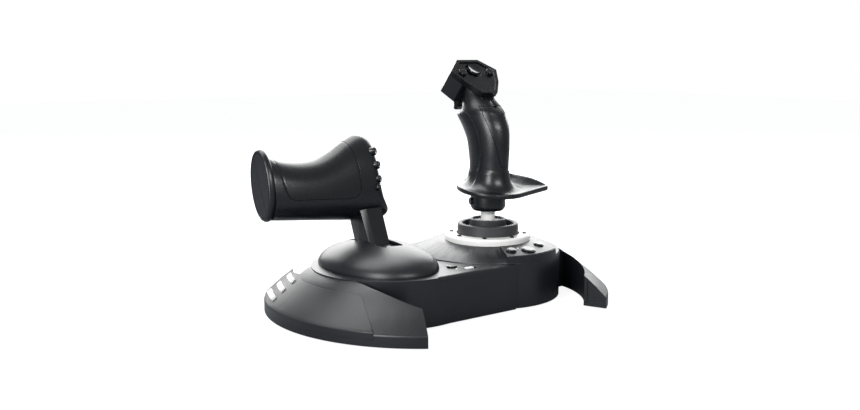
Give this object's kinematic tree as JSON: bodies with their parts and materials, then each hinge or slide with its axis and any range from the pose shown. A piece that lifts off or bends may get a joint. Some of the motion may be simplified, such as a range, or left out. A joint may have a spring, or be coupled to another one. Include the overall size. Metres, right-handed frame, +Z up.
{
  "type": "flight joystick",
  "caption": "Desktop flight joystick with a twisting sprung stick, hand rest and hat on one drum base, a sliding-friction throttle lever with a barrel handle on the other, and crescent feet.",
  "frame": {"origin": "middle of the whole unit on the desk: the bottom centre of its bounding box", "axes": "+X to the user's right, +Y away from the user, +Z up"},
  "size_m": [0.3264, 0.221, 0.2226],
  "materials": {
    "charcoal_abs": "satin fine-texture moulding",
    "gloss_black_abs": "semi-gloss",
    "boot_rubber": "matt",
    "white_abs": "smooth",
    "grey_abs": "fine texture",
    "steel": "zinc plated",
    "board": "solder mask",
    "felt": "pressed"
  },
  "bodies": {
    "base": {"stick_base_shell": "charcoal_abs", "stick_base_plate": "grey_abs", "right_crescent": "charcoal_abs", "console_panel": "gloss_black_abs", "indicator_lights": "white_abs", "ring_trim": "white_abs", "ring_screws": "steel", "gaiter_cup": "boot_rubber", "gimbal_frame": "grey_abs", "pitch_sensor": "board", "circuit_boards": "board", "cable_gland": "boot_rubber", "base_screws": "steel", "rubber_feet": "boot_rubber", "throttle_base_shell": "charcoal_abs", "throttle_base_plate": "grey_abs", "left_crescent": "charcoal_abs", "crescent_cover": "charcoal_abs", "light_strips": "white_abs", "dome_cap": "charcoal_abs", "lever_bearings": "grey_abs", "friction_pads": "felt", "throttle_sensor": "board", "ballast_plates": "steel", "centering_spring": "steel"},
    "console_button_left": {"console_button_left": "gloss_black_abs"},
    "console_button_right": {"console_button_right": "gloss_black_abs"},
    "console_button_middle": {"console_button_middle": "gloss_black_abs"},
    "deck_button": {"deck_button": "gloss_black_abs"},
    "mode_switch": {"mode_switch": "white_abs"},
    "tension_wheel": {"tension_wheel": "grey_abs"},
    "centering_cup": {"centering_cup": "grey_abs"},
    "yoke": {"gimbal_yoke": "steel", "roll_sensor": "board"},
    "stick": {"stick_hub": "steel", "stick_shaft": "white_abs", "gaiter_cuff": "boot_rubber"},
    "grip": {"grip_left_shell": "charcoal_abs", "grip_right_shell": "charcoal_abs", "rear_inlay": "charcoal_abs", "twist_bushing": "steel", "twist_lock_screw": "grey_abs", "head_housing": "charcoal_abs", "head_plate": "gloss_black_abs"},
    "trigger": {"trigger": "gloss_black_abs"},
    "hat_rocker": {"hat_rocker": "grey_abs"},
    "hat": {"hat_cap": "gloss_black_abs"},
    "head_button_left": {"head_button_left": "gloss_black_abs"},
    "head_button_right": {"head_button_right": "gloss_black_abs"},
    "lever": {"throttle_lever": "charcoal_abs", "throttle_axle": "steel", "handle_rear_shell": "charcoal_abs", "handle_front_shell": "charcoal_abs", "handle_side_cover": "charcoal_abs", "handle_end_cap": "grey_abs"},
    "handle_button_upper": {"handle_button_upper": "gloss_black_abs"},
    "handle_button_middle": {"handle_button_middle": "gloss_black_abs"},
    "handle_button_lower": {"handle_button_lower": "gloss_black_abs"},
    "handle_button_oval": {"handle_button_oval": "gloss_black_abs"},
    "rudder_rocker": {"rudder_rocker": "gloss_black_abs"}
  },
  "joints": [
    {"name": "stick_pitch", "type": "hinge", "parent": "base", "child": "yoke", "pos_m": [0.053, 0, 0.052], "axis": [1, 0, 0], "range_deg": [-15, 15], "stiffness_Nm_per_rad": 1.8},
    {"name": "stick_roll", "type": "hinge", "parent": "yoke", "child": "stick", "pos_m": [0.053, 0, 0.052], "axis": [0, 1, 0], "range_deg": [-15, 15], "stiffness_Nm_per_rad": 1.8},
    {"name": "stick_twist", "type": "hinge", "parent": "stick", "child": "grip", "pos_m": [0.053, 0, 0.1], "axis": [0, 0, 1], "range_deg": [-18, 18], "stiffness_Nm_per_rad": 0.8},
    {"name": "trigger_pull", "type": "hinge", "parent": "grip", "child": "trigger", "pos_m": [0.053, 0.04, 0.1995], "axis": [1, 0, 0], "range_deg": [-9, 0], "stiffness_Nm_per_rad": 0.06},
    {"name": "hat_updown", "type": "hinge", "parent": "grip", "child": "hat_rocker", "pos_m": [0.053, 0.02822, 0.20652], "axis": [1, 0, 0], "range_deg": [-8, 8], "stiffness_Nm_per_rad": 0.02},
    {"name": "hat_leftright", "type": "hinge", "parent": "hat_rocker", "child": "hat", "pos_m": [0.053, 0.02822, 0.20652], "axis": [0, 0.757, 0.6534], "range_deg": [-8, 8], "stiffness_Nm_per_rad": 0.02},
    {"name": "head_button_left_press", "type": "slide", "parent": "grip", "child": "head_button_left", "axis": [0, 0.6534, -0.757], "range_m": [0, 0.0012], "stiffness_N_per_m": 250},
    {"name": "head_button_right_press", "type": "slide", "parent": "grip", "child": "head_button_right", "axis": [0, 0.6534, -0.757], "range_m": [0, 0.0012], "stiffness_N_per_m": 250},
    {"name": "throttle_lever", "type": "hinge", "parent": "base", "child": "lever", "pos_m": [-0.065, 0.004, 0.022], "axis": [1, 0, 0], "range_deg": [-8, 30]},
    {"name": "handle_button_upper_press", "type": "slide", "parent": "lever", "child": "handle_button_upper", "axis": [-0.6428, 0.752, -0.1462], "range_m": [0, 0.001], "stiffness_N_per_m": 250},
    {"name": "handle_button_middle_press", "type": "slide", "parent": "lever", "child": "handle_button_middle", "axis": [-0.6428, 0.752, -0.1462], "range_m": [0, 0.001], "stiffness_N_per_m": 250},
    {"name": "handle_button_lower_press", "type": "slide", "parent": "lever", "child": "handle_button_lower", "axis": [-0.6428, 0.752, -0.1462], "range_m": [0, 0.001], "stiffness_N_per_m": 250},
    {"name": "handle_button_oval_press", "type": "slide", "parent": "lever", "child": "handle_button_oval", "axis": [-0.4226, 0.8897, -0.1729], "range_m": [0, 0.001], "stiffness_N_per_m": 250},
    {"name": "rudder_rocker_tilt", "type": "hinge", "parent": "lever", "child": "rudder_rocker", "pos_m": [-0.11, 0.06054, 0.11414], "axis": [0, 0.1908, 0.9816], "range_deg": [-5, 5], "stiffness_Nm_per_rad": 0.15},
    {"name": "console_button_left_press", "type": "slide", "parent": "base", "child": "console_button_left", "axis": [0.0541, 0.1885, -0.9806], "range_m": [0, 0.0012], "stiffness_N_per_m": 250},
    {"name": "console_button_right_press", "type": "slide", "parent": "base", "child": "console_button_right", "axis": [-0.0719, 0.1825, -0.9806], "range_m": [0, 0.0012], "stiffness_N_per_m": 250},
    {"name": "console_button_middle_press", "type": "slide", "parent": "base", "child": "console_button_middle", "axis": [0, 0.1961, -0.9806], "range_m": [0, 0.0012], "stiffness_N_per_m": 250},
    {"name": "deck_button_press", "type": "slide", "parent": "base", "child": "deck_button", "axis": [0, 0, -1], "range_m": [0, 0.001], "stiffness_N_per_m": 250},
    {"name": "mode_switch_slide", "type": "slide", "parent": "base", "child": "mode_switch", "axis": [1, 0, 0], "range_m": [0, 0.003]},
    {"name": "tension_wheel_turn", "type": "hinge", "parent": "base", "child": "tension_wheel", "pos_m": [0.053, 0, 0.005], "axis": [0, 0, 1], "range_deg": [0, 330]},
    {"name": "centering_cup_slide", "type": "slide", "parent": "base", "child": "centering_cup", "axis": [0, 0, 1], "range_m": [-0.004, 0], "stiffness_N_per_m": 2500, "deforming": ["centering_spring"]}
  ]
}
